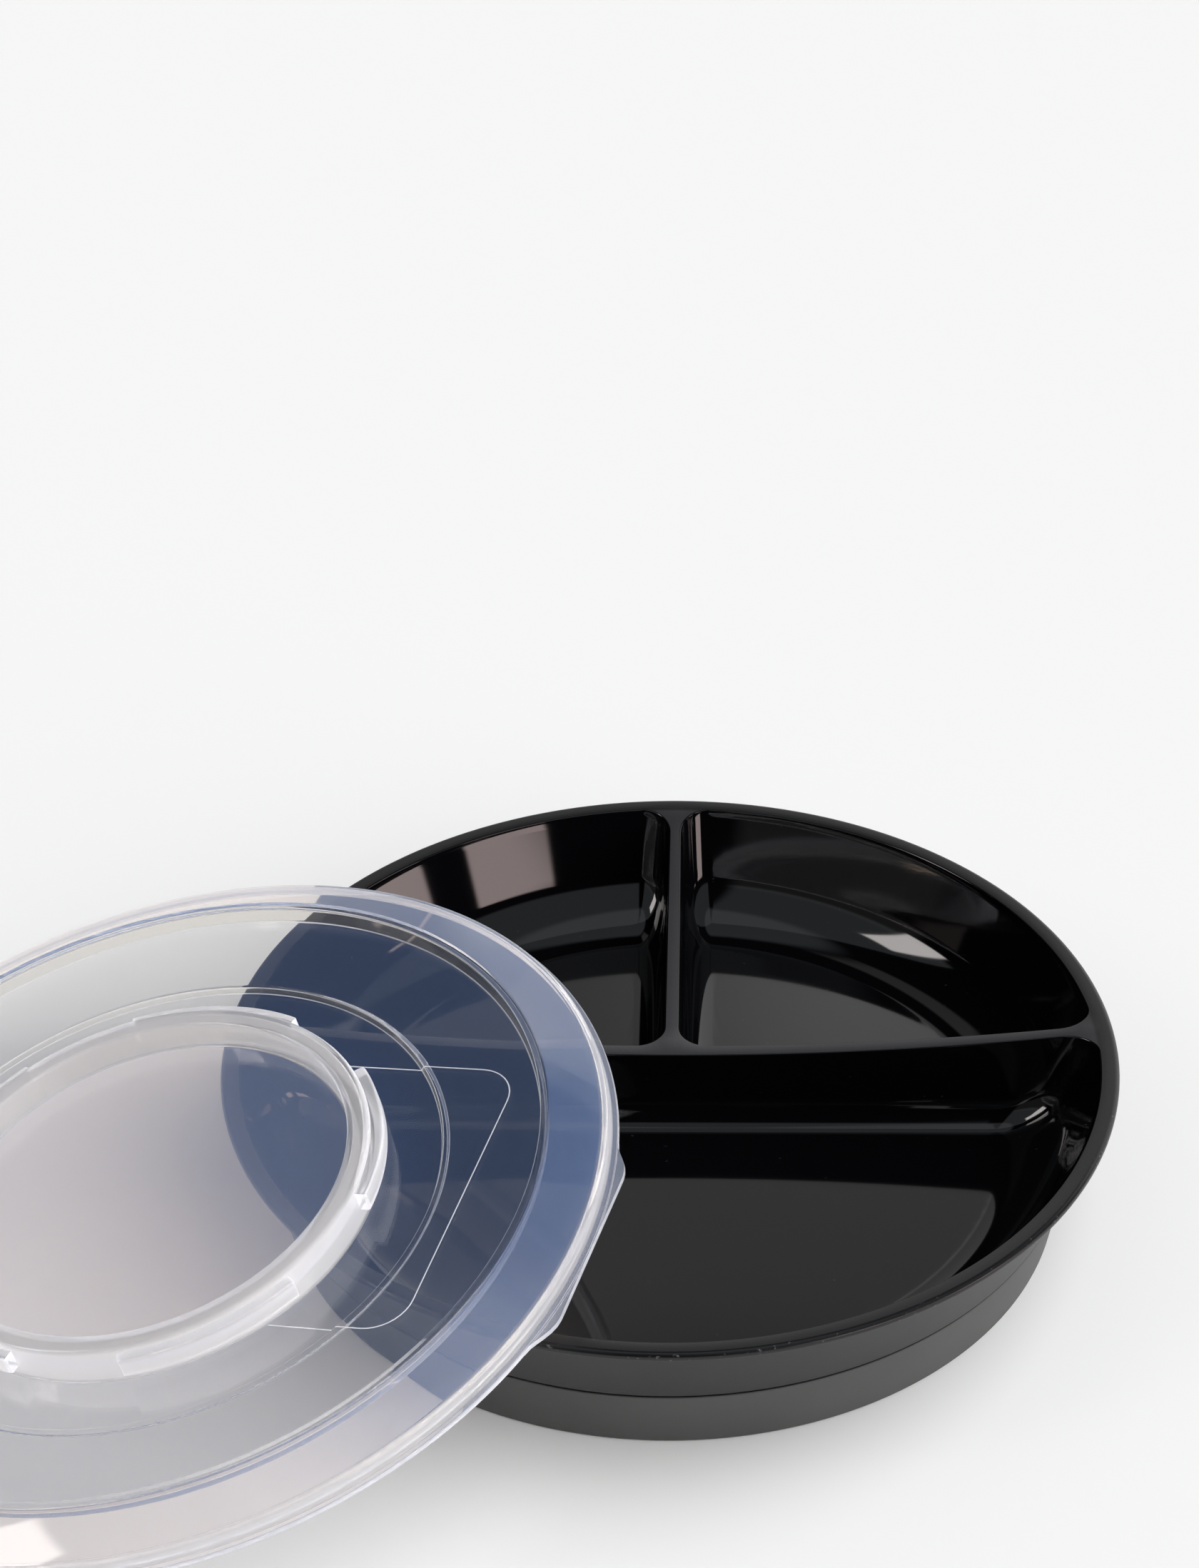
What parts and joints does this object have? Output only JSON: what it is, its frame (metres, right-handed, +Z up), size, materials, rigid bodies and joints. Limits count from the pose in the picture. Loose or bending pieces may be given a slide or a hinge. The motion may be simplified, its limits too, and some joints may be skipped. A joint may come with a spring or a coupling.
{
  "type": "divided lunch plate with lid",
  "caption": "Round lunch plate with a flat rim, a T-shaped divider and a soft non-slip foot, with its clear stepped lid taken off and leaning on the rim.",
  "frame": {"origin": "on the plate's axis, at the level of the table that its foot stands on", "axes": "+Z up along the plate's axis, +X along the long divider to the right, +Y along the short divider to the back"},
  "size_m": [0.2799, 0.2229, 0.0535],
  "materials": {
    "tray": "gloss",
    "grip": "satin",
    "lid": "translucent"
  },
  "bodies": {
    "plate": {"divided_tray": "tray", "grip_skirt": "grip"},
    "cover": {"lid": "lid"}
  },
  "joints": [
    {"name": "lid_lift", "type": "slide", "parent": "plate", "child": "cover", "axis": [0, 0, 1], "range_m": [0, 0.08]}
  ]
}
